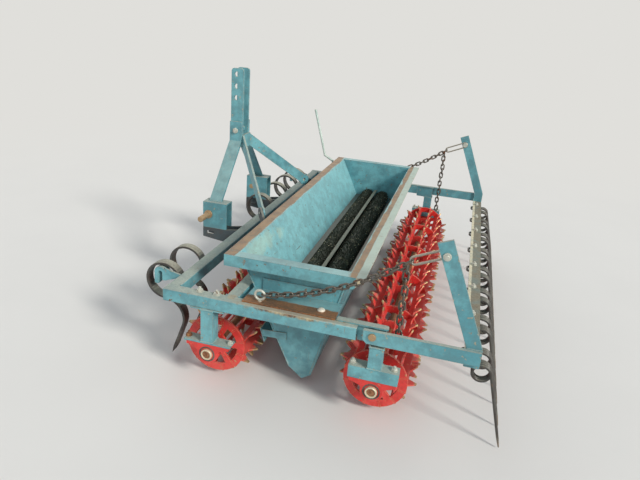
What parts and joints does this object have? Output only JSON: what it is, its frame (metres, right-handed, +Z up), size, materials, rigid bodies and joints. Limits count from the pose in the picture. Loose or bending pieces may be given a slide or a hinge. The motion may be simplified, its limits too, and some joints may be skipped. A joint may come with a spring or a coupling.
{
  "type": "mounted seed drill",
  "caption": "Compact mounted seed drill with toothed cage rollers, V hopper over feed brushes, three-point headstock, spring tines and a hinged rear tine harrow.",
  "frame": {"origin": "on the ground under the middle of the overall length and width", "axes": "+X forward in the direction of travel, +Y to the left, +Z up"},
  "size_m": [1.1999, 1.65, 0.913],
  "materials": {
    "teal_paint": "worn gloss paint, dusty on top",
    "red_paint": "bright gloss paint, worn to bare steel at the teeth",
    "black_spring": "satin black",
    "black_paint": "dull black",
    "rusty_steel": "rusty, dull",
    "worn_steel": "worn, dull",
    "chain_steel": "dark, dull",
    "bristle": "stiff dark bristle, dusty",
    "dusty_rod": "pale worn paint"
  },
  "bodies": {
    "frame": {"main_frame": "teal_paint", "front_roller_legs": "teal_paint", "rear_roller_legs": "teal_paint", "front_bearing_housings": "red_paint", "rear_bearing_housings": "red_paint", "hopper_walls": "teal_paint", "hopper_end_plates": "teal_paint", "hopper_floor": "worn_steel", "hopper_straps": "rusty_steel", "seed_lever": "dusty_rod", "roller_scraper": "teal_paint", "mast_plates": "teal_paint", "mast_legs": "teal_paint", "mast_stays": "teal_paint", "stay_tabs": "black_paint", "link_brackets": "teal_paint", "link_bracket_bases": "black_paint", "link_pins": "rusty_steel", "front_tines": "black_spring", "front_tine_clamps": "black_paint", "front_tine_guards": "teal_paint", "pivot_pins": "rusty_steel", "chain_eyes": "worn_steel"},
    "front_roller": {"front_roller_shaft": "worn_steel", "front_roller_discs": "red_paint", "front_roller_bars": "red_paint"},
    "rear_roller": {"rear_roller_shaft": "worn_steel", "rear_roller_discs": "red_paint", "rear_roller_bars": "red_paint"},
    "front_brush": {"front_brush_shaft": "worn_steel", "front_brush": "bristle"},
    "rear_brush": {"rear_brush_shaft": "worn_steel", "rear_brush": "bristle"},
    "harrow": {"harrow_arms": "teal_paint", "harrow_crossbar": "teal_paint", "harrow_uprights": "teal_paint", "shackle_pins": "worn_steel", "harrow_tines": "black_spring"},
    "left_chain": {"left_chain": "chain_steel"},
    "right_chain": {"right_chain": "chain_steel"}
  },
  "joints": [
    {"name": "front_roller_spin", "type": "hinge", "parent": "frame", "child": "front_roller", "pos_m": [0.305, 0, 0.12324], "axis": [0, 1, 0], "continuous": true},
    {"name": "rear_roller_spin", "type": "hinge", "parent": "frame", "child": "rear_roller", "pos_m": [-0.215, 0, 0.12324], "axis": [0, 1, 0], "continuous": true},
    {"name": "front_brush_spin", "type": "hinge", "parent": "frame", "child": "front_brush", "pos_m": [0.098, 0, 0.262], "axis": [0, 1, 0], "continuous": true},
    {"name": "rear_brush_spin", "type": "hinge", "parent": "frame", "child": "rear_brush", "pos_m": [0.02, 0, 0.262], "axis": [0, 1, 0], "continuous": true},
    {"name": "harrow_lift", "type": "hinge", "parent": "frame", "child": "harrow", "pos_m": [-0.199, 0, 0.304], "axis": [0, 1, 0], "range_deg": [0, 20]},
    {"name": "left_chain_swing", "type": "hinge", "parent": "frame", "child": "left_chain", "pos_m": [0.15, 0.784, 0.346], "axis": [0, 1, 0], "range_deg": [0, 9.4]},
    {"name": "right_chain_swing", "type": "hinge", "parent": "frame", "child": "right_chain", "pos_m": [0.15, -0.784, 0.346], "axis": [0, 1, 0], "range_deg": [0, 9.4]}
  ],
  "couplings": [
    {"joint": "left_chain_swing", "follows": "harrow_lift", "ratio": 0.4581},
    {"joint": "right_chain_swing", "follows": "harrow_lift", "ratio": 0.4581}
  ]
}
